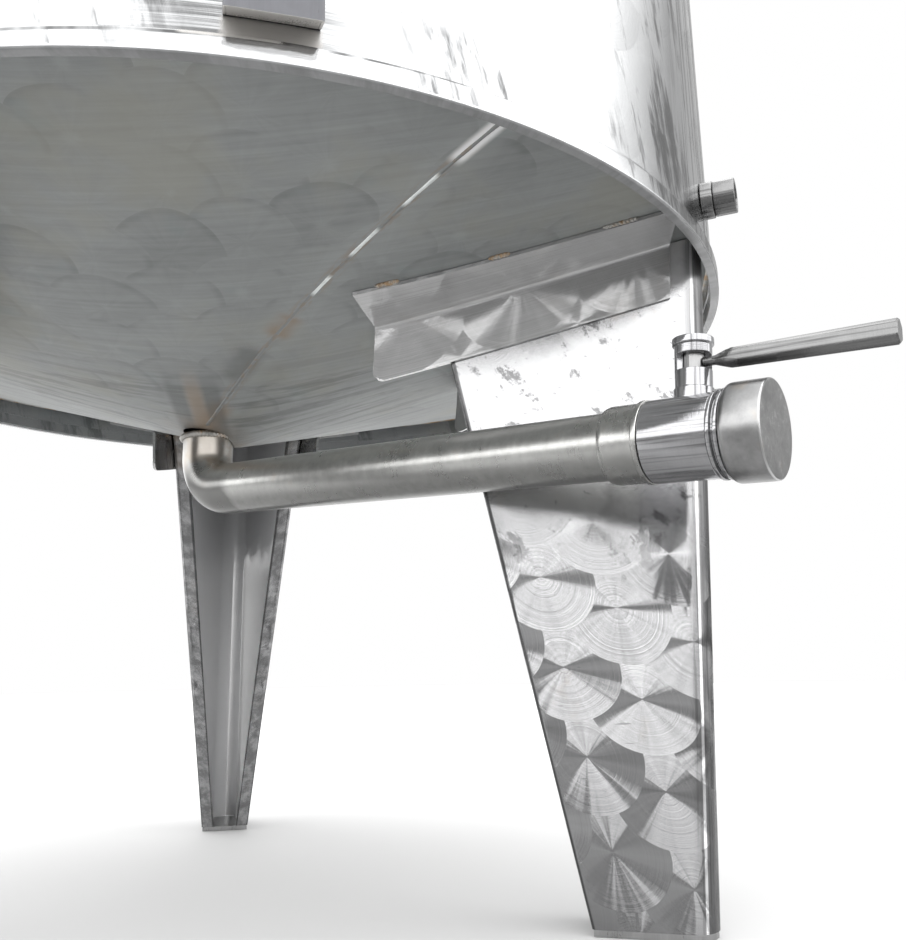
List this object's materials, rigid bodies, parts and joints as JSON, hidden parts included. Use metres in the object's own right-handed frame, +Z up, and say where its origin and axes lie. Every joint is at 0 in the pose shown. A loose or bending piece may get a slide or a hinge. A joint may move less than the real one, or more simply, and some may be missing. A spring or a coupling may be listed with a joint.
{
  "type": "vertical storage tank",
  "caption": "Upright steel storage tank with a conical bottom on folded-sheet legs, with a sloping drain pipe, a lever valve and a blank cap.",
  "frame": {"origin": "on the floor, at the middle of the whole footprint; the tank's axis stands 9 mm from it along +Y", "axes": "+Z up along the tank's axis, -Y towards the level gauge at the front, +X to the right of a person who faces the gauge"},
  "size_m": [1.02, 1.0376, 2.0108],
  "materials": {
    "shell_steel": "bright stainless sheet with a swirl-ground pattern",
    "bottom_steel": "satin stainless sheet with heat tint at the welds",
    "leg_steel": "swirl-ground stainless sheet",
    "pipe_steel": "satin stainless tube",
    "polished_steel": "turned and polished stainless",
    "gauge_plastic": "clear to milky tube",
    "black_knob": "matt black"
  },
  "bodies": {
    "tank": {"shell_plate_1": "shell_steel", "shell_plate_2": "shell_steel", "shell_plate_3": "shell_steel", "shell_plate_4": "shell_steel", "bottom_band": "shell_steel", "top_band": "shell_steel", "bottom_cone": "bottom_steel", "roof_cone": "shell_steel", "leg_right": "leg_steel", "leg_back": "leg_steel", "leg_left": "leg_steel", "foot_plate_right": "leg_steel", "foot_plate_back": "leg_steel", "foot_plate_left": "leg_steel", "bracket_right_a": "leg_steel", "bracket_right_b": "leg_steel", "bracket_back_a": "leg_steel", "bracket_back_b": "leg_steel", "bracket_left_a": "leg_steel", "bracket_left_b": "leg_steel", "drain_riser": "pipe_steel", "drain_elbow": "pipe_steel", "drain_pipe": "pipe_steel", "valve_sleeve": "pipe_steel", "valve_body": "polished_steel", "valve_neck": "polished_steel", "outlet_rings": "polished_steel", "outlet_cap": "pipe_steel", "lower_jacket_boss": "polished_steel", "lower_jacket_nipple": "polished_steel", "upper_jacket_boss": "polished_steel", "upper_jacket_nipple": "polished_steel", "gauge_guard_left": "shell_steel", "gauge_guard_right": "shell_steel", "gauge_tube": "gauge_plastic", "manway_neck": "shell_steel", "manway_lid": "shell_steel", "lid_knob": "black_knob", "vent_pipe": "polished_steel", "lifting_eye_left": "shell_steel", "lifting_eye_right": "shell_steel"},
    "lever": {"valve_lever": "polished_steel", "valve_disc": "polished_steel"}
  },
  "joints": [
    {"name": "valve_turn", "type": "hinge", "parent": "tank", "child": "lever", "pos_m": [0.32057, -0.40706, 0.42758], "axis": [0.0337, -0.04, 0.9986], "range_deg": [-90, 0]}
  ]
}
